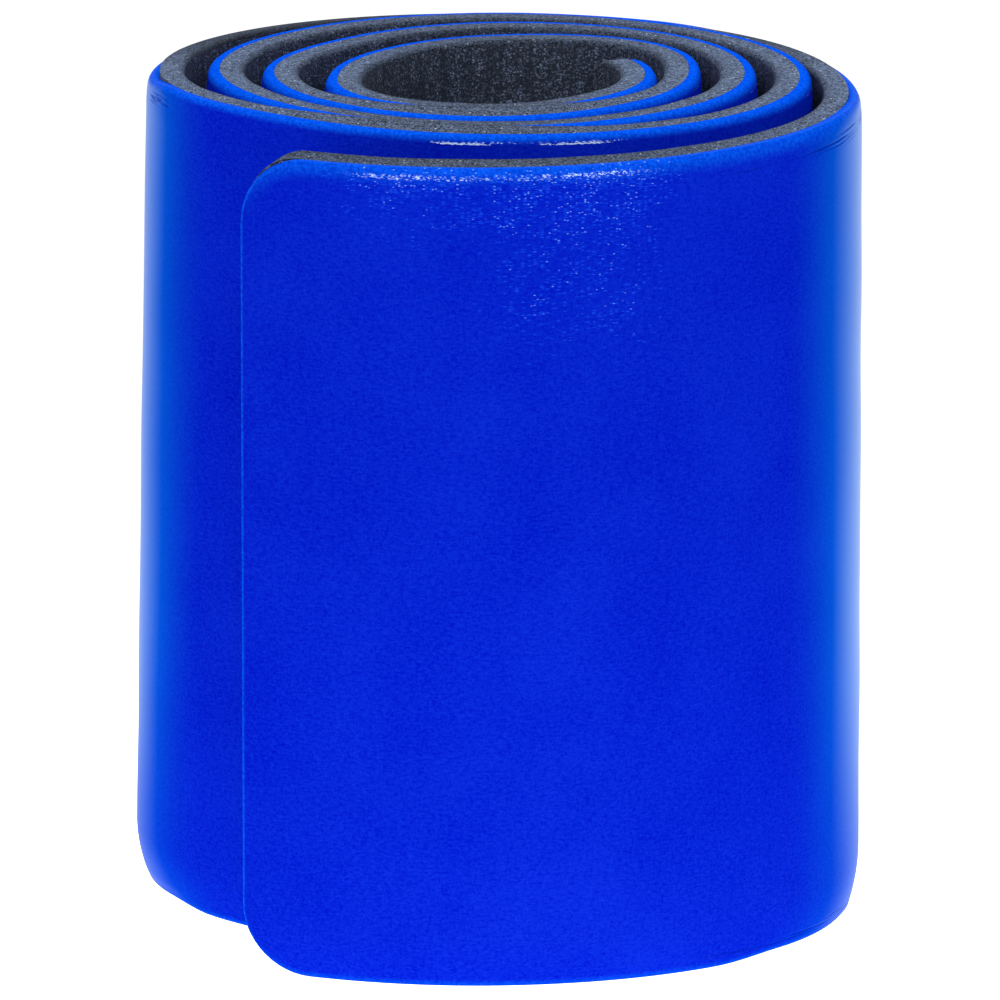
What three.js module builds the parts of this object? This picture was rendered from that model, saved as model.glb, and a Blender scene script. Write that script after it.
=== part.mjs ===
// Aluminium foam splint: a padded strip rolled up and standing on its long edge.
// Millimetres, +Z up. The roll is seen from the front along +Y, with +X to the right.
import * as THREE from 'three';

// The strip as it is cut
const stripWidth = 108;
const endCornerRadius = 9;

// Its layers, measured from the joint line where the two foams meet
const greyThickness = 3.25;
const greyChamfer = 0.4;
const blueThickness = 1.75;
const blueEdgeRadius = 0.9; // round the outer corner of its long edges
const blueTaper = { depth: 0.45, height: 5 }; // it thins by this depth towards those edges
const foamGap = 0.1; // from the joint line to each foam
const coreThickness = 0.4;
const coreInset = 3.5; // from the foam's edge to the aluminium's, all round
const coreCornerRadius = 5.5;
const coreGap = 0.15; // from the aluminium to each foam
const pocketMargin = 0.2; // from the aluminium's edge to the pocket that holds it
const pocketSlope = 0.4; // width of the sloping side of that pocket
const pocketRunOut = 3; // the pocket fades out over this length at each end
const shallowestPocket = 0.1; // share of its depth that is left there

// The roll, a row for each turn from the inner end, clockwise seen from above:
// distance of the joint line from the middle at the right, front, left and back, and between them
const turns = [
  { r: 19.9, fr: 21.3, f: 24.0, fl: 23.5, l: 19.5, bl: 19.4, b: 23.5, br: 28.2 },
  { r: 25.6, fr: 26.5, f: 29.3, fl: 28.9, l: 28.2, bl: 27.9, b: 32.2, br: 34.2 },
  { r: 32.9, fr: 33.6, f: 35.4, fl: 34.3, l: 35.3, bl: 36.4, b: 38.5, br: 39.5 },
  { r: 40.0, fr: 41.4, f: 40.8, fl: 39.7, l: 43.0, bl: 44.8, b: 43.8, br: 44.8 },
  { r: 46.0, fr: 51.7, f: 57.0, fl: 57.8, l: 57.1 }, // the free end stands off the roll
];
const innerEndTurn = -46.5 / 360;
const outerEndTurn = 4 + 122.5 / 360;

// The inner turns have crept up, so the outermost turn carries the roll
const creep = { height: 1, fromTurn: 3.33, toTurn: 3.67 };

// The roll is a little wider at the foot, and the free end leans out at the top
const flare = 0.4;
const lean = { right: -0.9, front: 4.6, fromTurn: 4, toTurn: 4.25 };

// Facets
const stepsPerTurn = 40;
const samplesPerStep = 20; // for measuring along the joint line
const endCornerSteps = 6;
const coreCornerSteps = 3;
const blueEdgeSteps = 3;
const shortestStep = 1.5;
const roundingError = 1e-6;

const colours = {
  blue: new THREE.Color(0x0a37d8),
  grey: new THREE.Color(0x3a3d44),
  aluminium: new THREE.Color(0xc9ccd0),
};

const { lerp, smoothstep } = THREE.MathUtils;

// The joint line in plan, from the inner end to the outer end
const directionsPerTurn = Object.keys(turns[0]).length;
const radii = turns.flatMap((turn) => Object.values(turn));
const radiusTurns = radii.map((radius, index) => index / directionsPerTurn);
const radiusAtTurn = new THREE.CubicInterpolant(radiusTurns, radii, 1);

class JointLine extends THREE.Curve {
  turnAt(t) {
    return lerp(innerEndTurn, outerEndTurn, t);
  }

  getPoint(t, target = new THREE.Vector3()) {
    const turn = this.turnAt(t);
    const angle = turn * 2 * Math.PI;
    const radius = radiusAtTurn.evaluate(turn)[0];
    return target.set(radius * Math.cos(angle), -radius * Math.sin(angle), 0);
  }
}

const jointLine = new JointLine();
const bendSteps = Math.round((outerEndTurn - innerEndTurn) * stepsPerTurn);
jointLine.arcLengthDivisions = bendSteps * samplesPerStep;
const stripLength = jointLine.getLength();
const bendDistances = jointLine.getLengths().filter((distance, i) => i % samplesPerStep === 0);

// One cross-section of the strip at a distance from its inner end
function station(distance) {
  const u = distance / stripLength;
  const turn = jointLine.turnAt(jointLine.getUtoTmapping(u));
  const tangent = jointLine.getTangentAt(u);
  return {
    point: jointLine.getPointAt(u),
    outward: new THREE.Vector3(-tangent.y, tangent.x, 0),
    foot: creep.height * (1 - smoothstep(turn, creep.fromTurn, creep.toTurn)),
    lean: smoothstep(turn, lean.fromTurn, lean.toTurn),
    toEnd: Math.min(distance, stripLength - distance),
  };
}

// Distances from an end at which a round corner is cut into facets
function cornerDistances(inset, radius, steps) {
  const turned = Array.from({ length: steps + 1 }, (_, i) => (i / steps) * (Math.PI / 2));
  return turned.map((angle) => inset + radius * (1 - Math.cos(angle)));
}

// How much a round corner takes off the strip's edge, at a distance from the end that it starts at
function cornerTrim(distance, radius) {
  const reach = Math.max(radius - distance, 0);
  return radius - Math.sqrt(radius * radius - reach * reach);
}

// All layers share the same cross-sections, so that their facets stay parallel
const nearEnd = [
  ...cornerDistances(0, endCornerRadius, endCornerSteps),
  ...cornerDistances(coreInset, coreCornerRadius, coreCornerSteps),
].sort((a, b) => a - b);
const clearOfEnd = nearEnd.at(-1) + shortestStep;
const stations = [
  ...nearEnd,
  ...bendDistances.filter((d) => d > clearOfEnd && d < stripLength - clearOfEnd),
  ...nearEnd.map((d) => stripLength - d).reverse(),
].map(station);

// A closed solid swept along the strip. edgeProfile gives a layer's section round its lower edge, from
// the inside of the roll to the outside, as [out from the joint line, up from the edge]
function sweep(inset, cornerRadius, edgeProfile) {
  const positions = [];
  const indices = [];
  let section = [];
  const places = stations.filter((place) => place.toEnd > inset - roundingError);
  for (const place of places) {
    const edge = inset + cornerTrim(Math.max(place.toEnd - inset, 0), cornerRadius);
    const lower = edgeProfile(place).map(([out, up]) => [out, edge + up]);
    const upper = lower.map(([out, height]) => [out, stripWidth - height]).reverse();
    section = [...lower, ...upper];
    for (const [out, height] of section) {
      const low = 1 - height / stripWidth;
      const corner = place.point.clone().addScaledVector(place.outward, out + flare * low);
      corner.x -= lean.right * place.lean * low;
      corner.y += lean.front * place.lean * low;
      positions.push(corner.x, corner.y, place.foot + height);
    }
  }
  const ringSize = section.length;
  for (let ring = 0; ring < places.length - 1; ring += 1) {
    for (let j = 0; j < ringSize; j += 1) {
      const next = (j + 1) % ringSize;
      const a = ring * ringSize + j;
      const b = ring * ringSize + next;
      // facets split from the foot of one section to the head of the next, alike on every layer
      const rising = section[next][1] > section[j][1];
      const split = rising ? [a, b, b + ringSize, a, b + ringSize, a + ringSize]
        : [a, b, a + ringSize, b, b + ringSize, a + ringSize];
      indices.push(...split);
    }
  }
  const lastRing = (places.length - 1) * ringSize;
  const outline = section.map(([out, height]) => new THREE.Vector2(out, height));
  for (const [a, b, c] of THREE.ShapeUtils.triangulateShape(outline, [])) {
    indices.push(a, c, b, lastRing + a, lastRing + b, lastRing + c);
  }
  const geometry = new THREE.BufferGeometry();
  geometry.setAttribute('position', new THREE.Float32BufferAttribute(positions, 3));
  geometry.setIndex(indices);
  geometry.computeVertexNormals();
  return geometry;
}

function piece(name, geometry, material) {
  const mesh = new THREE.Mesh(geometry, new THREE.MeshStandardMaterial(material));
  mesh.name = name;
  return mesh;
}

// How far a foam stands from the joint line over the aluminium
function pocketDepth(place) {
  const depth = THREE.MathUtils.clamp(place.toEnd / pocketRunOut, shallowestPocket, 1);
  return lerp(foamGap, coreThickness / 2 + coreGap, depth);
}

// Grey foam, on the inside of the roll, cut square with its inner edge eased
function greyEdge(place) {
  const pocketTop = coreInset - pocketMargin;
  return [
    [-greyThickness, greyChamfer],
    [greyChamfer - greyThickness, 0],
    [-foamGap, 0],
    [-foamGap, pocketTop - pocketSlope],
    [-pocketDepth(place), pocketTop],
  ];
}

// Blue foam, on the outside of the roll, thinner and rounded at its long edges
function blueEdge(place) {
  const pocketTop = coreInset - pocketMargin;
  const edgeThickness = blueThickness - blueTaper.depth;
  const roundCorner = Array.from({ length: blueEdgeSteps + 1 }, (_, i) => {
    const angle = (i / blueEdgeSteps) * (Math.PI / 2);
    const out = edgeThickness - blueEdgeRadius * (1 - Math.sin(angle));
    return [out, blueEdgeRadius * (1 - Math.cos(angle))];
  });
  return [
    [pocketDepth(place), pocketTop],
    [foamGap, pocketTop - pocketSlope],
    [foamGap, 0],
    ...roundCorner,
    [blueThickness, blueTaper.height],
  ];
}

// Aluminium sheet, in the pocket between the foams
function coreEdge() {
  return [
    [-coreThickness / 2, 0],
    [coreThickness / 2, 0],
  ];
}

const splint = new THREE.Group();
splint.add(
  piece('grey_foam', sweep(0, endCornerRadius, greyEdge), {
    color: colours.grey,
    roughness: 0.9,
    metalness: 0,
  }),
  piece('aluminium_core', sweep(coreInset, coreCornerRadius, coreEdge), {
    color: colours.aluminium,
    roughness: 0.35,
    metalness: 1,
  }),
  piece('blue_foam', sweep(0, endCornerRadius, blueEdge), {
    color: colours.blue,
    roughness: 0.45,
    metalness: 0,
  }),
);

// The origin is the middle of the roll's footprint
const middle = new THREE.Box3().setFromObject(splint).getCenter(new THREE.Vector3());
splint.position.set(-middle.x, -middle.y, 0);

export default splint;
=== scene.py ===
# Aluminium foam splint, rolled up and standing on its long edge. Metres, +Z up, the free end in front.
import math

import bpy
import numpy as np
from mathutils import Matrix, Vector


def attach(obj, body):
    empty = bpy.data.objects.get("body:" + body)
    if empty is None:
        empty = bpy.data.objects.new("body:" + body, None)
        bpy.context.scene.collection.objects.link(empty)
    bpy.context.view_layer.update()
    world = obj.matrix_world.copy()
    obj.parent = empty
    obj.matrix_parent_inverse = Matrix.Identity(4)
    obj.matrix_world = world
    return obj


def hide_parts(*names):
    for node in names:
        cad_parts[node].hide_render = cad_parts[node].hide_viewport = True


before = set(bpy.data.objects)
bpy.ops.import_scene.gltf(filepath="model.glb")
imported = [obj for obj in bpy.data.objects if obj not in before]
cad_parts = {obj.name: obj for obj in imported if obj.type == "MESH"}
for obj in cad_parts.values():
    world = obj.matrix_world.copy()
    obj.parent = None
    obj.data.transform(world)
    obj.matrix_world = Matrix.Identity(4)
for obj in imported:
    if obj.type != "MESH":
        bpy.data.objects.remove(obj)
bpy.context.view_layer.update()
print("frame loaded:", ", ".join(sorted(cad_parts)))

mm = 0.001  # sizes of the strip, the foams and the sheet are millimetres
tiny = 1e-6  # rounding error in them

# the strip as it is cut, and the spiral that it is rolled into
strip = {
    "width": 108,
    "cornerRadius": 9,
    # distance of the joint between the foams from the middle of the roll, a row for each turn,
    # clockwise seen from above: right, front, left, back and the directions between them
    "turns": [
        dict(r=19.9, fr=21.3, f=24.0, fl=23.5, l=19.5, bl=19.4, b=23.5, br=28.2),
        dict(r=25.6, fr=26.5, f=29.3, fl=28.9, l=28.2, bl=27.9, b=32.2, br=34.2),
        dict(r=32.9, fr=33.6, f=35.4, fl=34.3, l=35.3, bl=36.4, b=38.5, br=39.5),
        dict(r=40.0, fr=41.4, f=40.8, fl=39.7, l=43.0, bl=44.8, b=43.8, br=44.8),
        dict(r=46.0, fr=51.7, f=57.0, fl=57.8, l=57.1),
    ],
    "innerEnd": -46.5 / 360,  # in turns from the right
    "outerEnd": 4 + 122.5 / 360,
    "middle": (-1.5920, 6.3656),  # of the spiral, in the frame
    "creep": dict(height=1, start=3.33, stop=3.67),  # the inner turns stand this much higher
    "flare": 0.4,  # the roll is a little wider at the foot
    "lean": dict(right=-0.9, front=4.6, start=4, stop=4.25),  # the free end leans out at the top
    # here the lower edge curls up a little
    "lifts": [
        dict(turns=(3.415, 3.455, 3.52, 3.56), height=0.6),
        dict(turns=(4.03, 4.065, 4.125, 4.16), height=0.5),
    ],
    "liftReach": 2.8,
    "pocket": dict(inset=3.3, slope=0.4, depth=0.35, runOut=3, least=0.1),  # room for the aluminium
    "jointGap": 0.01,
    "samples": 24001,  # along the spiral
    "step": 2.2,  # between the cross-sections
    "fineStep": 0.7,  # where the skin is wrinkled
    "fineTurns": (3.42, 3.50),
    "cornerSteps": 14,
    "endSteps": 7,
    "endReach": 0.8,  # closest together up to here from the ends
    "sharpAngle": 38,  # degrees
}


def smoothStep(value, start, stop):
    x = np.clip((value - start) / (stop - start), 0, 1)
    return x * x * (3 - 2 * x)


# 1 from full to fading, 0 before start and after stop
def window(value, start, full, fading, stop):
    return smoothStep(value, start, full) * (1 - smoothStep(value, fading, stop))


# 1 where share is 0, down to what is left where it is 1
def lessen(share, left):
    return 1 - (1 - left) * share


# from 0 to 1, closer together at 0
def bunched(count):
    return 1 - np.cos(np.linspace(0, math.pi / 2, count))


# the joint between the foams in plan, a smooth curve through the distances of each turn
def makeSpiral():
    radii = np.array([radius for row in strip["turns"] for radius in row.values()])
    turn = np.linspace(strip["innerEnd"], strip["outerEnd"], strip["samples"])
    knot = np.maximum(turn * len(strip["turns"][0]), 0)
    first = knot.astype(int)
    p = knot - first
    padded = np.r_[2 * radii[0] - radii[1], radii, 2 * radii[-1] - radii[-2]]
    a, b, c, d = (padded[first + i] for i in range(4))
    radius = b + p / 2 * (c - a + p * (2 * a - 5 * b + 4 * c - d + p * (3 * (b - c) + d - a)))
    angle = 2 * math.pi * turn
    point = np.stack([radius * np.cos(angle), -radius * np.sin(angle)], 1) + strip["middle"]
    along = np.r_[0, np.cumsum(np.linalg.norm(np.diff(point, axis=0), axis=1))]
    return turn, point, along


# the cross-sections of the strip, closer together at its ends
def makeStations():
    turn, point, along = makeSpiral()
    length, corner = along[-1], strip["cornerRadius"]
    nearEnd = np.r_[
        strip["endReach"] * bunched(strip["endSteps"]),
        corner * bunched(strip["cornerSteps"])[1:],
    ]
    nearEnd = np.unique(nearEnd.round(2))
    clear = corner + strip["step"] / 2
    steps = round((length - 2 * clear) / strip["step"])
    at = np.r_[nearEnd, np.linspace(clear, length - clear, steps), length - nearEnd[::-1]]
    begin, end = np.interp(strip["fineTurns"], turn, along)
    at = np.sort(np.r_[at[(at < begin) | (at > end)], np.arange(begin, end, strip["fineStep"])])

    def sampled(values):
        return np.stack([np.interp(at, along, column) for column in values.T], 1)

    tangent = sampled(np.gradient(point, along, axis=0))
    tangent /= np.linalg.norm(tangent, axis=1)[:, None]
    turnAt = np.interp(at, along, turn)
    creep, lean = strip["creep"], strip["lean"]
    return {
        "at": at,
        "turn": turnAt,
        "toEnd": np.minimum(at, length - at),
        "point": sampled(point),
        "outward": np.stack([-tangent[:, 1], tangent[:, 0]], 1),
        "foot": creep["height"] * (1 - smoothStep(turnAt, creep["start"], creep["stop"])),
        "lean": smoothStep(turnAt, lean["start"], lean["stop"]),
    }


stations = makeStations()
# as columns, to set against the rows of a cross-section
alongColumn, turnColumn = stations["at"][:, None], stations["turn"][:, None]
print("strip:", round(stations["at"][-1]), "mm long,", len(stations["at"]), "cross-sections")


# uneven surface made of a few long waves
def ripple(height, length, seed, high=1, waves=7, spread=(0.6, 1.6)):
    draw = np.random.default_rng(seed)
    total = 0
    for _ in range(waves):
        turn = draw.uniform(0, math.pi)
        count = 2 * math.pi / (length * draw.uniform(*spread))
        phase = draw.uniform(0, 2 * math.pi)
        total = total + np.sin(count * (alongColumn * math.cos(turn) + height * math.sin(turn)) + phase)
    return high * total / 3


# 1 between a row's start and stop, fading out over a share of its length at both
def fadedEnds(row, share):
    fade = share * (row["stop"] - row["start"])
    return window(turnColumn, row["start"], row["start"] + fade, row["stop"] - fade, row["stop"])


# how much a rounded corner takes off a long edge
def cornerTrim(corner=strip["cornerRadius"]):
    reach = np.maximum(corner - stations["toEnd"], 0)[:, None]
    return corner - np.sqrt(corner**2 - reach**2)


# distance in from the cut outline, and how far the nearest edge is a long one (1) or an end (0)
def fromOutline(height):
    corner = strip["cornerRadius"]
    inEnd = np.maximum(corner - stations["toEnd"], 0)[:, None]
    inSide = np.maximum(corner - np.minimum(height, strip["width"] - height), 0)
    return corner - np.hypot(inEnd, inSide), np.arctan2(inSide, inEnd) / (math.pi / 2)


# how far a foam stands back from the joint over the aluminium
def pocketDepth():
    pocket = strip["pocket"]
    share = np.clip(stations["toEnd"] / pocket["runOut"], pocket["least"], 1)[:, None]
    return strip["jointGap"] + (pocket["depth"] - strip["jointGap"]) * share


# a closed skin over cross-sections given as out and height, station by station
def sweep(name, out, height, looks, marks):
    low = 1 - height / strip["width"]
    reach = out + strip["flare"] * low
    plan = stations["point"][:, None] + reach[..., None] * stations["outward"][:, None]
    leaning = stations["lean"][:, None] * low
    plan[..., 0] -= strip["lean"]["right"] * leaning
    plan[..., 1] += strip["lean"]["front"] * leaning
    lift = sum(row["height"] * window(turnColumn, *row["turns"]) for row in strip["lifts"])
    curl = lift * smoothStep(height, strip["liftReach"], 0)
    rise = height + stations["foot"][:, None] + curl
    vertices = np.concatenate([plan, rise[..., None]], 2) * mm
    rings, size = out.shape
    ring, spot = np.meshgrid(np.arange(rings - 1), np.arange(size), indexing="ij")
    a = (ring * size + spot).ravel()
    b = (ring * size + (spot + 1) % size).ravel()
    quads = np.stack([a, b, b + size, a + size], 1)
    last = (rings - 1) * size
    caps = [list(range(size))[::-1], list(range(last, last + size))]
    mesh = bpy.data.meshes.new(name)
    mesh.from_pydata(vertices.reshape(-1, 3).tolist(), [], quads.tolist() + caps)
    mesh.update()
    mesh.polygons.foreach_set("use_smooth", np.arange(len(quads) + len(caps)) < len(quads))
    mesh.set_sharp_from_angle(angle=math.radians(strip["sharpAngle"]))
    # the map called strip runs along the strip and up it, in metres
    layer = mesh.uv_layers.new(name="strip")
    corners = np.zeros(len(mesh.loops), int)
    mesh.loops.foreach_get("vertex_index", corners)
    flat = np.stack([np.repeat(stations["at"], size), height.ravel()], 1) * mm
    layer.data.foreach_set("uv", flat[corners].ravel())
    for mark, values in marks.items():
        mesh.attributes.new(mark, "FLOAT", "POINT").data.foreach_set("value", values.ravel())
    piece = bpy.data.objects.new(name, mesh)
    bpy.context.scene.collection.objects.link(piece)
    for look in looks:
        mesh.materials.append(look)
    return piece


def solid(colour):
    return (*colour, 1.0)


# a socket in a node tree, with arithmetic
class Wire:
    def __init__(self, tree, socket=None):
        self.tree = tree
        self.socket = socket

    def node(self, kind, settings=None, inputs=None, output=0):
        made = self.tree.nodes.new(kind)
        for name, value in (settings or {}).items():
            setattr(made, name, value)
        for name, value in (inputs or {}).items():
            if isinstance(value, Wire):
                self.tree.links.new(value.socket, made.inputs[name])
            else:
                made.inputs[name].default_value = value
        return Wire(self.tree, made.outputs[output] if len(made.outputs) else None)

    def math(self, operation, *values):
        return self.node("ShaderNodeMath", {"operation": operation}, dict(enumerate(values)))

    def __add__(self, other):
        return self.math("ADD", self, other)

    def __sub__(self, other):
        return self.math("SUBTRACT", self, other)

    def __rsub__(self, other):
        return self.math("SUBTRACT", other, self)

    def __mul__(self, other):
        return self.math("MULTIPLY", self, other)

    def __pow__(self, other):
        return self.math("POWER", self, other)

    __radd__ = __add__
    __rmul__ = __mul__

    # 0 below start, 1 above stop
    def between(self, start, stop):
        inputs = {"Value": self, "From Min": start, "From Max": stop}
        return self.node("ShaderNodeMapRange", {"interpolation_type": "SMOOTHSTEP"}, inputs)

    # one colour where this is 0 and another where it is 1
    def colours(self, low, high):
        low, high = (end if isinstance(end, Wire) else solid(end) for end in (low, high))
        return self.node("ShaderNodeMix", {"data_type": "RGBA"}, {0: self, 6: low, 7: high}, output=2)

    # this vector, longer or shorter along each axis
    def scaled(self, *factors):
        return self.node("ShaderNodeVectorMath", {"operation": "MULTIPLY"}, {0: self, 1: factors})

    # soft noise with grains of a size in millimetres
    def noise(self, grain, detail=2.0, roughness=0.55):
        inputs = {"Vector": self, "Scale": 1 / (grain * mm), "Detail": detail, "Roughness": roughness}
        return self.node("ShaderNodeTexNoise", None, inputs)

    # cells of a size in millimetres
    def cells(self, size, output, dimensions="3D"):
        inputs = {"Vector": self, "Scale": 1 / (size * mm)}
        return self.node("ShaderNodeTexVoronoi", {"voronoi_dimensions": dimensions}, inputs, output)

    # a random value from 0 to 1 in each cell
    def specks(self, size, dimensions="3D"):
        return self.node("ShaderNodeSeparateColor", None, {0: self.cells(size, "Color", dimensions)})

    # round dots in a share of the cells of a flat pattern, softer from core to rim
    def dots(self, size, share, core=0.2, rim=0.5):
        chosen = (self.specks(size, "2D") + share).between(1.0, 1.03)
        return chosen * (1 - self.cells(size, "Distance", "2D").between(core, rim))

    # small relief from this height, with its depth in millimetres
    def bump(self, strength, depth):
        inputs = {"Strength": strength, "Distance": depth * mm, "Height": self}
        return self.node("ShaderNodeBump", None, inputs)

    # the place in the frame
    def place(self):
        return self.node("ShaderNodeTexCoord", output="Object")

    # the place along the strip and up it
    def flat(self):
        return self.node("ShaderNodeUVMap", {"uv_map": "strip"})

    # a value that the mesh carries
    def mark(self, name):
        return self.node("ShaderNodeAttribute", {"attribute_name": name}, None, "Fac")

    def length(self):
        return self.node("ShaderNodeVectorMath", {"operation": "LENGTH"}, {0: self}, "Value")

    # the second axis of this vector
    def second(self):
        return self.node("ShaderNodeSeparateXYZ", None, {0: self}, 1)


def newMaterial(name):
    material = bpy.data.materials.new(name)
    material.use_nodes = True
    material.node_tree.nodes.clear()
    return material, Wire(material.node_tree)


# each sheen covers a share of the surface with a skin of its own colour
def finishMaterial(wire, inputs, sheens=(), sheenRoughness=0.6):
    surface = wire.node("ShaderNodeBsdfPrincipled", None, inputs, "BSDF")
    for share, colour in sheens:
        veil = {"Base Color": solid(colour), "Roughness": sheenRoughness, "Specular IOR Level": 0.0}
        veil = wire.node("ShaderNodeBsdfPrincipled", None, veil, "BSDF")
        surface = wire.node("ShaderNodeMixShader", None, {0: share, 1: surface, 2: veil})
    wire.node("ShaderNodeOutputMaterial", None, {"Surface": surface})


# blue foam, on the outside of the roll
blueFoam = {
    "thickness": 1.75,
    "upperCorner": 8.6,  # its upper end corners are cut a little tighter than the lower ones
    # how its edges are rounded: across the thickness, down the face, and a long shallow taper behind that
    "upperEdge": dict(across=0.7, down=1.1, taper=0.3, reach=5),
    "freeUpperEdge": dict(across=0.7, down=1.6, taper=0.3, reach=5),
    "lowerEdge": dict(across=0.6, down=0.6, taper=1.1, reach=7),
    "endEdge": dict(across=0.4, down=0.35, taper=0.15, reach=2),
    "openFrom": (3.33, 3.42),  # turns from which the skin faces the room
    "freeFrom": (4.0, 4.12),  # turns from which it stands off the roll
    # here its upper edge lies lower than the grey foam's
    "setBacks": [
        dict(turns=(3.46, 3.51, 3.63, 3.77), depth=0.9),
        dict(turns=(3.83, 3.91, 4.00, 4.07), depth=0.6),
    ],
    "setBackReach": 4,
    # and here it stands out further towards the foot, but not at the very edge
    "bulges": [
        dict(turns=(3.38, 3.46, 3.54, 3.64), foot=0.75),
        dict(turns=(3.90, 3.97, 4.01, 4.08), foot=0.35),
    ],
    "bulgeFrom": (0, 9),
    # the face isn't quite even, away from the edges
    "wave": dict(length=24, seed=3, high=0.05),
    "waveFrom": (1, 6),
    # rows of points in from the long edges: round the edge, over the creases and on the face
    "edgeRows": dict(count=11, reach=1.1),
    "creaseRows": dict(start=1.2, stop=4.9, apart=0.1, beyond=(0.6, 1.6, 3)),
    "rowStep": 4,
    # creases along the edge of the aluminium: side 1 is the upper edge
    "creases": [
        dict(side=1, inset=2.1, slope=0.014, depth=0.09, start=3.93, stop=4.17),
        dict(side=1, inset=2.0, slope=0.000, depth=0.08, start=3.98, stop=4.09),
        dict(side=1, inset=1.2, slope=0.02, depth=0.08, start=3.462, stop=3.485),
        dict(side=1, inset=1.5, slope=-0.02, depth=0.09, start=3.455, stop=3.480),
        dict(side=1, inset=1.8, slope=0.03, depth=0.10, start=3.463, stop=3.488),
        dict(side=1, inset=2.2, slope=-0.03, depth=0.09, start=3.453, stop=3.478),
        dict(side=1, inset=2.7, slope=0.02, depth=0.07, start=3.466, stop=3.487),
        dict(side=1, inset=1.2, slope=0.24, depth=0.09, start=3.467, stop=3.484),
        dict(side=1, inset=1.6, slope=0.22, depth=0.09, start=3.460, stop=3.474),
        dict(side=1, inset=2.8, slope=-0.22, depth=0.09, start=3.468, stop=3.486),
        dict(side=0, inset=1.3, slope=0.004, depth=0.05, start=3.99, stop=4.16),
        dict(side=0, inset=1.7, slope=0.001, depth=0.06, start=3.98, stop=4.19),
        dict(side=0, inset=2.2, slope=-0.004, depth=0.06, start=3.97, stop=4.15),
        dict(side=0, inset=2.7, slope=-0.006, depth=0.05, start=3.98, stop=4.10),
        dict(side=1, inset=1.5, slope=0.008, depth=0.05, start=3.965, stop=4.05),
        dict(side=1, inset=2.7, slope=0.016, depth=0.06, start=3.97, stop=4.12),
        dict(side=1, inset=3.1, slope=0.020, depth=0.04, start=3.98, stop=4.09),
    ],
    "groove": dict(width=0.13, ridge=0.2, ridgeAt=2.2),  # with a low ridge, that many widths further in
    "creaseFade": 0.2,
    "creaseBreaks": dict(length=10, start=-0.4, stop=0.3, left=0.3),
    "creaseWander": dict(length=14, high=0.08),
    "wanderSeed": 20,
    "deepestCrease": 0.1,
    # painted shade in the creases, and how fully it covers them
    "creaseShadeColour": (0.0, 0.006, 0.22),
    "creaseCover": 0.8,
    # deep and bright colours of the face, and of its edges painted paler as a highlight, mixed by grains
    # of several sizes
    "faceColours": ((0.0, 0.0040, 0.40), (0.003, 0.0225, 0.52)),
    "edgeHighlightColours": ((0.0, 0.045, 0.52), (0.002, 0.095, 0.76)),
    "clouds": 16,
    "coarse": 0.45,
    "grain": 0.3,
    "drawnOut": 0.3,  # below 1, so that part of the grain is drawn out along the strip
    "toneShares": dict(clouds=0.2, grain=0.3, drawn=0.25, coarse=0.25),
    "toneFrom": (0.3, 0.7),
    # the painted highlight on the edges ends between these distances, and how strong it is
    "rims": {
        "inner": (0.2, 1.2, 1.0),
        "outer": (0.1, 0.95, 0.95),
        "free": (0.2, 2.5, 0.85),
        "lower": (0.3, 1.1, 0.5),
        "end": (0.25, 0.55, 1.0),
    },
    # sheen on what is seen edge-on, from and to a share of the full turn, and how its strength grows
    "azureSheen": dict(colour=(0.0, 0.38, 1.0), start=0.40, stop=0.86, most=0.28),
    "paleSheen": dict(colour=(0.75, 0.85, 1.0), start=0.64, power=1.4, most=0.45),
    "sheenFoot": dict(low=4, high=40, left=0.45),  # weaker towards the foot
    "sheenLess": dict(rim=0.97, crease=0.8),  # and on the rims and in the creases
    # the sheen, a painted reflection, is stronger here
    "brighterSheen": dict(turns=(3.88, 3.97, 4.03, 4.10), more=0.25),  # stronger here
    "roughness": dict(least=0.44, grain=0.08),
    "relief": dict(grain=0.35, drawn=0.45, dots=0.5),
    "bump": dict(strength=0.3, depth=0.1),
    # pale dots, painted glints, in a share of the skin, in clusters, fading out downwards and along the
    # strip
    "dots": [
        dict(share=0.040, low=104, high=106, turns=(4.17, 4.20, 4.285, 4.31)),
        dict(share=0.026, low=97, high=104, turns=(4.17, 4.20, 4.285, 4.31)),
        dict(share=0.024, low=80, high=94, turns=(4.18, 4.20, 4.24, 4.26)),
    ],
    "dot": dict(size=0.17, stretch=0.45, colour=(0.18, 0.36, 1.0), least=0.4),
    "cluster": dict(size=4, start=0.35, stop=0.65, least=0.4, more=1.3),
    # faint flecks between the dots, painted glints as well, longer and several times as many
    "fleck": dict(size=0.21, stretch=0.28, perDot=8, colour=(0.01, 0.10, 0.86), cover=0.7),
    # bright streaks along the round of the upper edge, a painted highlight, the weaker the more broken
    "streaks": [
        dict(inset=1.05, width=0.16, start=3.247, stop=3.283, strength=1.25),
        dict(inset=1.05, width=0.16, start=3.184, stop=3.230, strength=1.2),
        dict(inset=0.85, width=0.25, start=3.150, stop=3.310, strength=0.55),
        dict(inset=1.15, width=0.50, start=4.250, stop=4.310, strength=0.62),
        dict(inset=1.05, width=0.45, start=4.190, stop=4.240, strength=0.66),
        dict(inset=1.20, width=0.75, start=4.165, stop=4.320, strength=0.54),
        dict(inset=1.10, width=0.12, start=0.990, stop=1.060, strength=0.55),
        dict(inset=1.10, width=0.12, start=1.990, stop=2.050, strength=0.60),
        dict(inset=1.10, width=0.12, start=2.990, stop=3.050, strength=0.60),
    ],
    "streakFade": 0.25,
    "streakHighlightColour": (0.55, 0.70, 1.0),
    "streakFrom": (1.05, 1.35),
    "streakShare": 0.9,
    "spark": 0.11,  # size of the specks that break the streaks up
    "coat": dict(most=0.6, roughness=0.25, ior=1.4),  # on the streaks
}
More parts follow.
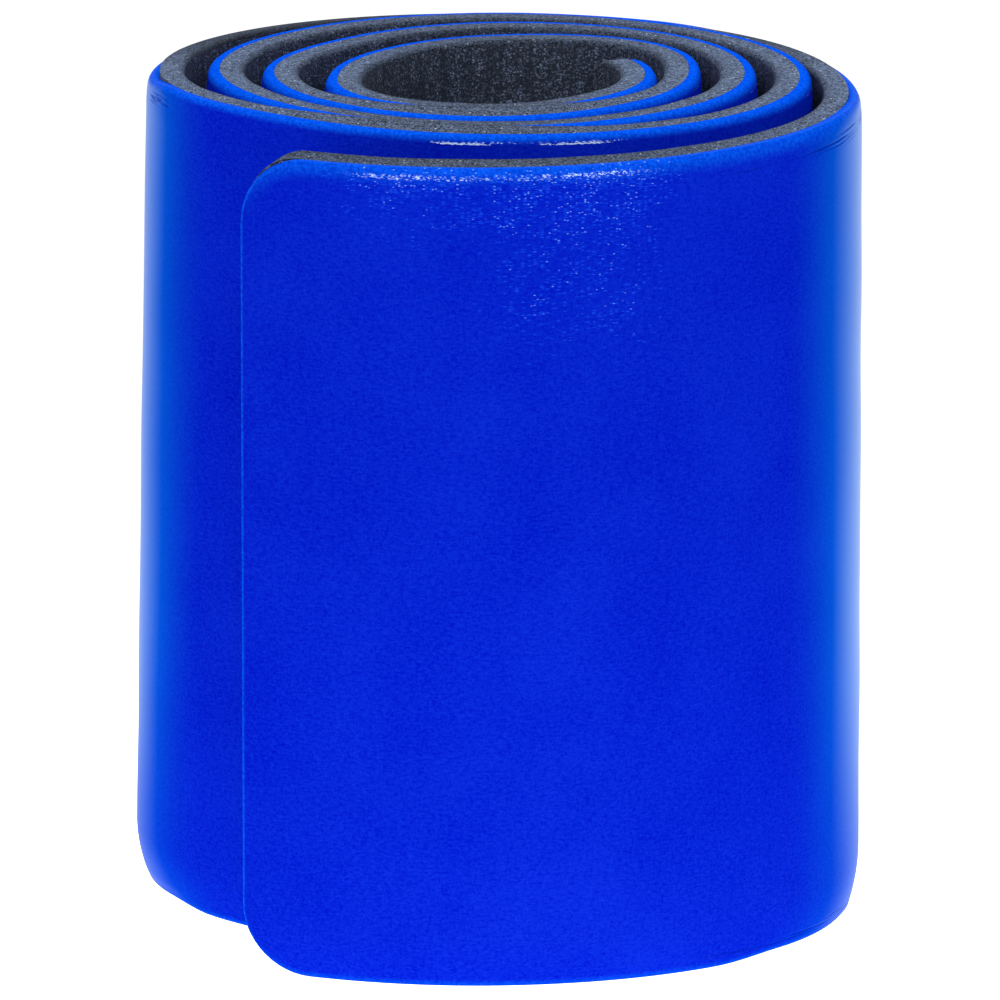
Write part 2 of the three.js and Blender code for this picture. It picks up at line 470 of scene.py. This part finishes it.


# pale dots, thickest just under the upper edge, and faint flecks between them: painted glints
def scatterDots(colour, flat, grain, coarse):
    dot, fleck, cluster = blueFoam["dot"], blueFoam["fleck"], blueFoam["cluster"]
    patches = flat.noise(cluster["size"]).between(cluster["start"], cluster["stop"])
    share = flat.mark("dotted") * (patches * cluster["more"] + cluster["least"])
    flecks = flat.scaled(fleck["stretch"], 1.0, 0.0).dots(fleck["size"], share * fleck["perDot"])
    colour = (flecks * (coarse * fleck["cover"])).colours(colour, fleck["colour"])
    dots = flat.scaled(dot["stretch"], 1.0, 0.0).dots(dot["size"], share)
    colour = (dots * (grain * (1 - dot["least"]) + dot["least"])).colours(colour, dot["colour"])
    return colour, dots


# seen edge-on the skin turns azure and then pale where it faces the room
def makeSheens(wire, flat, rim, crease):
    azure, pale, foot = blueFoam["azureSheen"], blueFoam["paleSheen"], blueFoam["sheenFoot"]
    less = blueFoam["sheenLess"]
    turned = wire.node("ShaderNodeLayerWeight", None, {"Blend": 0.5}, "Facing")
    risen = flat.second().between(foot["low"] * mm, foot["high"] * mm) * (1 - foot["left"]) + foot["left"]
    bare = wire.mark("open") * risen * (1 - rim * less["rim"]) * (1 - crease * less["crease"])
    azureShare = turned.between(azure["start"], azure["stop"]) * azure["most"] * bare
    beyond = wire.math("MAXIMUM", turned - pale["start"], 0.0) * (1 / (1 - pale["start"]))
    paleShare = beyond ** pale["power"] * pale["most"] * bare
    return [(azureShare, azure["colour"]), (paleShare, pale["colour"])]


def makeBlueLook():
    material, wire = newMaterial("blue_foam_skin")
    place, flat = wire.place(), wire.flat()
    rim, crease = wire.mark("rim"), wire.mark("crease")
    clouds, coarse = place.noise(blueFoam["clouds"]), place.noise(blueFoam["coarse"])
    grain = place.noise(blueFoam["grain"], 1)
    drawn = flat.scaled(blueFoam["drawnOut"], 1.0, 0.0).noise(blueFoam["grain"], 1)
    mix = blueFoam["toneShares"]
    tone = clouds * mix["clouds"] + grain * mix["grain"] + drawn * mix["drawn"] + coarse * mix["coarse"]
    face = tone.between(*blueFoam["toneFrom"]).colours(*blueFoam["faceColours"])
    # the edges painted paler, a painted highlight where they round over
    edge = coarse.between(*blueFoam["toneFrom"]).colours(*blueFoam["edgeHighlightColours"])
    # painted shade darkens the colour in the creases
    colour = (crease * blueFoam["creaseCover"]).colours(rim.colours(face, edge), blueFoam["creaseShadeColour"])
    colour, dots = scatterDots(colour, flat, grain, coarse)
    # the streaks are a painted highlight in the colour, broken up by specks, with some coat on them
    sparks = flat.scaled(blueFoam["dot"]["stretch"], 1.0, 0.0).specks(blueFoam["spark"], "2D")
    broken = sparks * 0.5 + coarse * 0.5
    streak = (wire.mark("streak") * blueFoam["streakShare"] + broken).between(*blueFoam["streakFrom"])
    parts, rough, coat = blueFoam["relief"], blueFoam["roughness"], blueFoam["coat"]
    relief = grain * parts["grain"] + drawn * parts["drawn"] * (1 - rim) + dots * parts["dots"]
    inputs = {
        "Base Color": streak.colours(colour, blueFoam["streakHighlightColour"]),
        "Roughness": rough["least"] + grain * rough["grain"],
        "Specular IOR Level": 0.0,
        "Coat Weight": streak * coat["most"],
        "Coat Roughness": coat["roughness"],
        "Coat IOR": coat["ior"],
        "Normal": relief.bump(**blueFoam["bump"]),
    }
    finishMaterial(wire, inputs, makeSheens(wire, flat, rim, crease))
    return material


# how far the outer face stands from the joint, at a distance in from the edge that it is cut to
def roundEdge(inward, edge):
    corner = np.clip(1 - inward / edge["down"], 0, 1)
    taper = edge["taper"] * np.clip(1 - inward / edge["reach"], 0, 1) ** 2
    return blueFoam["thickness"] - taper - edge["across"] * (1 - np.sqrt(1 - corner**2))


# shallow grooves along the strip, with breaks in them
def makeCreases(height):
    groove, breaks, wander = blueFoam["groove"], blueFoam["creaseBreaks"], blueFoam["creaseWander"]
    total = np.zeros_like(height)
    for seed, crease in enumerate(blueFoam["creases"]):
        fromEdge = strip["width"] - height if crease["side"] else height
        whole = smoothStep(ripple(0, breaks["length"], seed), breaks["start"], breaks["stop"])
        strength = fadedEnds(crease, blueFoam["creaseFade"]) * lessen(1 - whole, breaks["left"])
        begun = alongColumn - np.interp(crease["start"], stations["turn"], stations["at"])
        shift = ripple(0, seed=seed + blueFoam["wanderSeed"], **wander)
        away = (fromEdge - crease["inset"] - crease["slope"] * begun - shift) / groove["width"]
        ridge = groove["ridge"] * np.exp(-((away - groove["ridgeAt"]) ** 2))
        total += crease["depth"] * strength * (np.exp(-(away**2)) - ridge)
    return total


# heights on the blue foam, lower where its upper edge is set back
def setBack(height):
    width = strip["width"]
    depth = sum(row["depth"] * window(turnColumn, *row["turns"]) for row in blueFoam["setBacks"])
    return height - depth * smoothStep(height, width - blueFoam["setBackReach"], width)


# values on the mesh that the look is made from, row by row of the outer face
def makeMarks(height, inward, longEdge, creases):
    above = strip["width"] - height
    # how far the painted highlight on the edges reaches
    rims = {}
    for name, (near, far, strength) in blueFoam["rims"].items():
        rims[name] = strength * (1 - smoothStep(inward, near, far))
    opened = smoothStep(turnColumn, *blueFoam["openFrom"])
    freed = smoothStep(turnColumn, *blueFoam["freeFrom"])
    upper = (1 - opened) * rims["inner"] + opened * ((1 - freed) * rims["outer"] + freed * rims["free"])
    rim = np.where(above < height, upper, rims["lower"])
    # painted highlight along the round of the upper edge
    streak = np.zeros_like(height)
    for row in blueFoam["streaks"]:
        away = (above - row["inset"]) / row["width"]
        paintedHighlight = row["strength"] * fadedEnds(row, blueFoam["streakFade"]) * np.exp(-(away**2))
        streak = np.maximum(streak, paintedHighlight)
    # where the painted glints of the pale dots and flecks go
    dotted = 0
    for row in blueFoam["dots"]:
        fading = smoothStep(height, row["low"], row["high"])
        dotted = dotted + row["share"] * fading * window(turnColumn, *row["turns"])
    sheenMore = 1 + blueFoam["brighterSheen"]["more"] * window(turnColumn, *blueFoam["brighterSheen"]["turns"])
    return {
        "rim": longEdge * rim + (1 - longEdge) * rims["end"],
        "crease": np.clip(creases / blueFoam["deepestCrease"], 0, 1),
        "streak": streak,
        "dotted": dotted,
        "open": opened * sheenMore * np.ones_like(height),
    }


# heights of the rows on the outer face, from the lower edge to the upper one
def makeBlueRows():
    edge, band, middle = blueFoam["edgeRows"], blueFoam["creaseRows"], strip["width"] / 2
    near = np.r_[
        edge["reach"] * bunched(edge["count"]),
        np.arange(band["start"], band["stop"], band["apart"]),
        band["stop"] + np.array(band["beyond"]),
    ]
    share = np.linspace(0, 1, round((middle - near[-1]) / blueFoam["rowStep"]) + 1)[1:]
    sides = []
    for corner in (strip["cornerRadius"], blueFoam["upperCorner"]):
        rows = cornerTrim(corner) + near
        sides.append(np.concatenate([rows, rows[:, -1:] + (middle - rows[:, -1:]) * share], 1))
    lower, upper = sides
    return np.concatenate([lower, strip["width"] - upper[:, -2::-1]], 1)


# how far the outer face stands from the joint before it is creased
def makeBlueFace(height, inward, longEdge):
    freed = smoothStep(turnColumn, *blueFoam["freeFrom"])
    upper = (1 - freed) * roundEdge(inward, blueFoam["upperEdge"])
    upper = upper + freed * roundEdge(inward, blueFoam["freeUpperEdge"])
    long = np.where(height > strip["width"] / 2, upper, roundEdge(inward, blueFoam["lowerEdge"]))
    out = longEdge * long + (1 - longEdge) * roundEdge(inward, blueFoam["endEdge"])
    low = (1 - height / strip["width"]) * smoothStep(height, *blueFoam["bulgeFrom"])
    for row in blueFoam["bulges"]:
        out = out + row["foot"] * low * window(turnColumn, *row["turns"])
    return out + smoothStep(inward, *blueFoam["waveFrom"]) * ripple(height, **blueFoam["wave"])


def makeBlueFoam():
    pocket = strip["pocket"]
    height = makeBlueRows()
    inward, longEdge = fromOutline(height)
    longEdge = smoothStep(longEdge, 0, 1)
    creases = makeCreases(height)
    out = makeBlueFace(height, inward, longEdge) - creases
    # the hidden side, from the upper edge down, with the pocket for the aluminium
    depth = pocketDepth()
    rim = np.full_like(depth, strip["jointGap"])
    inset = np.array([pocket["inset"], pocket["inset"] - pocket["slope"], 0])
    upper = strip["width"] - cornerTrim(blueFoam["upperCorner"]) - inset[::-1]
    hidden = np.concatenate([upper, cornerTrim() + inset], 1)
    marks = makeMarks(height, inward, longEdge, creases)
    spare = np.zeros_like(hidden)
    piece = sweep(
        "blue_foam_pad",
        np.concatenate([out, rim, rim, depth, depth, rim, rim], 1),
        np.concatenate([setBack(height), setBack(hidden)], 1),
        [makeBlueLook()],
        {name: np.concatenate([values, spare + (name == "rim")], 1) for name, values in marks.items()},
    )
    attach(piece, "root")
    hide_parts("blue_foam")
    return piece


# grey foam, on the inside of the roll
greyFoam = {
    "thickness": 3.25,
    "upperCorner": 7.6,  # its upper end corners are cut tighter than the lower ones
    "innerEase": 0.6,
    "easeSteps": 7,
    "cutSteps": 7,
    "rowStep": 4,
    "skinEnd": 5.4,  # the skin goes round the inner end this far along the cut edges
    "faceWave": dict(length=20, seed=8, high=0.05),
    "cutWave": dict(length=14, seed=5, high=0.04),
    "cutWaveAcross": 9,  # so many times shorter across the thickness
    # in places the cut edge rises towards the inside of the roll
    "slants": [
        dict(turn=1.25, reach=0.11, rise=0.85),
        dict(turn=3.28, reach=0.085, rise=0.83),
        dict(turn=3.63, reach=0.11, rise=0.40),
        dict(turn=4.32, reach=0.27, rise=0.60),
    ],
    "slantReach": 3,  # a slant fades out over this length at the ends
    # painted shade: the cut edge is darker in front and behind, at the free end and on its inner side
    "cutShade": dict(across=0.66, freeEnd=0.8, freeFrom=(4.05, 4.2), inner=0.5, innerFrom=(0.62, 0.98)),
    # and painted shade in two places at the back: fading in and out, and the share that is left
    "shadedPlaces": [((3.51, 3.58, 3.74, 3.86), 0.42), ((3.82, 3.88, 3.91, 3.98), 0.6)],
    # open cells and fine grain on the cut edge, a few cells nearly white
    "cut": dict(
        colours=((0.004, 0.007, 0.013), (0.142, 0.200, 0.335)),
        cell=0.24,
        grain=0.17,
        grainFrom=(0.25, 0.75),
        toneFrom=(0.2, 0.8),
        speck=0.216,
        speckFrom=(0.985, 0.995),
        speckColour=(0.45, 0.50, 0.60),
        hollow=0.384,
        relief=dict(hollows=0.7, grain=0.6),
        bump=dict(strength=0.5, depth=0.15),
        roughness=dict(least=0.75, cells=0.2),
        specular=0.2,
    ),
    # dark skin inside the roll, wrinkled across the strip, with pale specks and flecks on the wrinkles
    "skin": dict(
        colours=((0.003, 0.008, 0.020), (0.190, 0.245, 0.385)),
        wrinkle=1.6,
        wrinkleStretch=0.12,
        wrinkleFrom=(0.35, 0.65),
        wrinkleLeast=0.5,
        grain=0.25,
        grainFrom=(0.45, 0.75),
        speck=0.2,
        speckFrom=(0.75, 1.0),
        fleck=0.25,
        fleckStretch=0.5,
        fleckShare=0.25,
        patch=1.5,
        patchFrom=(0.3, 0.7),
        tone=dict(specks=0.4, flecks=0.6, grain=0.2),
        relief=dict(wrinkles=1.6, grain=0.5),
        bump=dict(strength=0.5, depth=0.2),
        roughness=dict(least=0.55, grain=0.2),
        specular=0.35,
    ),
}


def makeCutLook():
    material, wire = newMaterial("grey_foam_cut")
    look, place = greyFoam["cut"], wire.place()
    cells, grain = place.specks(look["cell"]), place.noise(look["grain"], 1)
    tone = cells * 0.5 + grain.between(*look["grainFrom"]) * 0.5
    grey = tone.between(*look["toneFrom"]).colours(*look["colours"])
    white = place.specks(look["speck"]).between(*look["speckFrom"])
    colour = white.colours(grey, look["speckColour"])
    hollows = place.cells(look["hollow"], "Distance")
    relief = hollows * look["relief"]["hollows"] + grain * look["relief"]["grain"]
    finishMaterial(wire, {
        # the shade mark darkens the cut colour, painted shade
        "Base Color": wire.mark("shade").colours((0, 0, 0), colour),
        "Roughness": look["roughness"]["least"] + cells * look["roughness"]["cells"],
        "Specular IOR Level": look["specular"],
        "Normal": relief.bump(**look["bump"]),
    })
    return material


def makeSkinLook():
    material, wire = newMaterial("grey_foam_skin")
    look, place, flat = greyFoam["skin"], wire.place(), wire.flat()
    wrinkles = flat.scaled(1.0, look["wrinkleStretch"], 0.0).noise(look["wrinkle"], 3)
    grain = place.noise(look["grain"], 1)
    specks = place.specks(look["speck"]).between(*look["speckFrom"])
    flecks = flat.scaled(look["fleckStretch"], 1.0, 0.0).dots(look["fleck"], look["fleckShare"])
    flecks = flecks * place.noise(look["patch"]).between(*look["patchFrom"])
    mix = look["tone"]
    tone = specks * mix["specks"] + flecks * mix["flecks"]
    tone = tone + grain.between(*look["grainFrom"]) * mix["grain"]
    tone = tone * (look["wrinkleLeast"] + wrinkles.between(*look["wrinkleFrom"]))
    relief = wrinkles * look["relief"]["wrinkles"] + grain * look["relief"]["grain"]
    finishMaterial(wire, {
        "Base Color": tone.colours(*look["colours"]),
        "Roughness": look["roughness"]["least"] + grain * look["roughness"]["grain"],
        "Specular IOR Level": look["specular"],
        "Normal": relief.bump(**look["bump"]),
    })
    return material


# how much the upper cut edge rises towards the inside of the roll
def makeSlant():
    rise = 0
    for row in greyFoam["slants"]:
        rise = rise + row["rise"] * np.exp(-(((turnColumn - row["turn"]) / row["reach"]) ** 2))
    return rise * smoothStep(stations["toEnd"], 0, greyFoam["slantReach"])[:, None]


# how light the cut edge is, darkened in places by painted shade
def makeShade(out):
    shading = greyFoam["cutShade"]
    across = (1 - np.cos(4 * math.pi * turnColumn)) / 2
    freed = smoothStep(turnColumn, *shading["freeFrom"])
    inner = smoothStep(-out / greyFoam["thickness"], *shading["innerFrom"])
    shade = lessen(across, shading["across"]) * lessen(freed, shading["freeEnd"]) * lessen(inner, shading["inner"])
    for turns, left in greyFoam["shadedPlaces"]:
        shade = shade * lessen(window(turnColumn, *turns), left)
    return shade


def makeGreyFoam():
    thick, ease, gap = greyFoam["thickness"], greyFoam["innerEase"], strip["jointGap"]
    pocket = strip["pocket"]
    top = strip["width"] - cornerTrim(greyFoam["upperCorner"])
    count = len(top)
    angle = np.linspace(0, math.pi / 2, greyFoam["easeSteps"])
    cut = np.linspace(ease - thick, -gap, greyFoam["cutSteps"])[1:]
    # an edge from the inside of the roll to the outside, then in to the pocket
    profileOut = np.r_[-thick + ease * (1 - np.cos(angle)), cut]
    profileIn = np.r_[ease * (1 - np.sin(angle)), 0 * cut]
    profileIn = np.r_[profileIn, pocket["inset"] - pocket["slope"], pocket["inset"]]
    depth = pocketDepth()
    rim = np.full_like(depth, -gap)
    lowOut = np.concatenate([np.tile(profileOut, (count, 1)), rim, -depth], 1)
    lowUp = cornerTrim() + profileIn
    highOut = lowOut[:, ::-1]
    highUp = top - profileIn[::-1]
    # the upper cut edge isn't quite level
    onCut = highUp > top - ease - tiny
    inside = np.clip(-highOut / thick, 0, 1)
    wave = ripple(greyFoam["cutWaveAcross"] * highOut, **greyFoam["cutWave"])
    highUp = highUp + onCut * inside * (makeSlant() + wave)
    # the face inside the roll, from the top down
    share = np.linspace(0, 1, round(strip["width"] / greyFoam["rowStep"]) + 1)[1:-1]
    faceUp = highUp[:, -1:] + (lowUp[:, :1] - highUp[:, -1:]) * share
    faceOut = -thick + ripple(faceUp, **greyFoam["faceWave"])
    out = np.concatenate([lowOut, highOut, faceOut], 1)
    piece = sweep(
        "grey_foam_pad",
        out,
        np.concatenate([lowUp, highUp, faceUp], 1),
        [makeSkinLook(), makeCutLook()],
        {"shade": makeShade(out)},
    )
    # cut foam on the long edges and the outer end, skin on the faces and round the inner end
    edgeQuads, upperEnd = len(profileOut) - 1, 2 * lowOut.shape[1] - 1
    isCut = np.zeros((count - 1, out.shape[1]), int)
    isCut[:, :edgeQuads] = 1
    isCut[:, upperEnd - edgeQuads:upperEnd] = 1
    isCut[stations["at"][:-1] < greyFoam["skinEnd"]] = 0
    piece.data.polygons.foreach_set("material_index", np.r_[isCut.ravel(), 0, 1])
    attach(piece, "root")
    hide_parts("grey_foam")
    return piece


# soft aluminium sheet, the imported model's own mesh, hidden between the foams
aluminium = {
    "colours": ((0.62, 0.63, 0.65), (0.82, 0.83, 0.85)),
    "grain": 0.6,
    "rolled": (0.2, 0.2, 3.0),  # the grain runs round the roll
    "roughness": dict(least=0.34, grain=0.12),
    "bump": dict(strength=0.1, depth=0.05),
}


def dressAluminium():
    material, wire = newMaterial("soft_aluminium")
    grain = wire.place().scaled(*aluminium["rolled"]).noise(aluminium["grain"], 3)
    finishMaterial(wire, {
        "Base Color": grain.colours(*aluminium["colours"]),
        "Roughness": aluminium["roughness"]["least"] + grain * aluminium["roughness"]["grain"],
        "Metallic": 1.0,
        "Normal": grain.bump(**aluminium["bump"]),
    })
    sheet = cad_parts["aluminium_core"]
    sheet.data.materials.clear()
    sheet.data.materials.append(material)


bluePad = makeBlueFoam()
print("blue foam:", len(bluePad.data.polygons), "faces")
greyPad = makeGreyFoam()
print("grey foam:", len(greyPad.data.polygons), "faces")
dressAluminium()
print("aluminium sheet dressed")

# plain white floor with a painted glow, strongest around the roll, that lights the roll from below, and
# soft studio light; sizes in metres
studio = {
    "floor": 0.1,
    "floorRoughness": 0.9,
    "floorGlow": 2.1,
    "glowFar": 0.44,  # share of the glow further out
    "glowReach": (0.05, 0.28),
    "floorHalf": 30.0,
    "floorDrop": 0.0002,  # below the roll's foot
    "sky": (0.25, 0.25, 0.25),
    "lamps": [
        dict(name="top", strength=3.5, spread=110, elevation=80, azimuth=0),
        dict(name="front", strength=0.5, spread=7, elevation=35, azimuth=0),
    ],
}


def makeFloor():
    half, drop = studio["floorHalf"], -studio["floorDrop"]
    mesh = bpy.data.meshes.new("floor")
    corners = [(-half, -half, drop), (half, -half, drop), (half, half, drop), (-half, half, drop)]
    mesh.from_pydata(corners, [], [(0, 1, 2, 3)])
    floor = bpy.data.objects.new("floor", mesh)
    bpy.context.scene.collection.objects.link(floor)
    material, wire = newMaterial("floor_white")
    away = wire.place().length().between(*studio["glowReach"])
    finishMaterial(wire, {
        "Base Color": solid((studio["floor"],) * 3),
        "Roughness": studio["floorRoughness"],
        "Specular IOR Level": 0.0,
        "Emission Color": away.colours((1, 1, 1), (studio["glowFar"],) * 3),
        "Emission Strength": studio["floorGlow"],
    })
    mesh.materials.append(material)


def makeLight():
    world = bpy.data.worlds.new("studio")
    world.use_nodes = True
    world.node_tree.nodes["Background"].inputs["Color"].default_value = solid(studio["sky"])
    bpy.context.scene.world = world
    for row in studio["lamps"]:
        lamp = bpy.data.lights.new(row["name"], "SUN")
        lamp.energy = row["strength"]
        lamp.angle = math.radians(row["spread"])
        holder = bpy.data.objects.new(row["name"], lamp)
        holder.rotation_euler = (math.radians(90 - row["elevation"]), 0, math.radians(row["azimuth"]))
        bpy.context.scene.collection.objects.link(holder)


# a long lens from a little above, as in the photograph; distances in metres
lens = {
    "focal": 619.17,
    "sensor": 36,
    "distance": 2.25,
    "elevation": 12.774,
    "roll": 0.398,
    "aim": (-0.00009, 0.01036, 0.0510),
    "clipEnd": 60,
}


def makeCamera():
    data = bpy.data.cameras.new("camera")
    data.lens = lens["focal"]
    data.sensor_width = lens["sensor"]
    data.clip_end = lens["clipEnd"]
    camera = bpy.data.objects.new("camera", data)
    down = math.radians(lens["elevation"])
    tip = Matrix.Rotation(math.pi / 2 - down, 4, "X") @ Matrix.Rotation(math.radians(lens["roll"]), 4, "Z")
    back = Vector((0, -math.cos(down), math.sin(down))) * lens["distance"]
    camera.matrix_world = Matrix.Translation(Vector(lens["aim"]) + back) @ tip
    bpy.context.scene.collection.objects.link(camera)
    bpy.context.scene.camera = camera


makeFloor()
makeLight()
makeCamera()
bpy.context.scene.view_settings.view_transform = "Standard"
print("studio and camera ready")
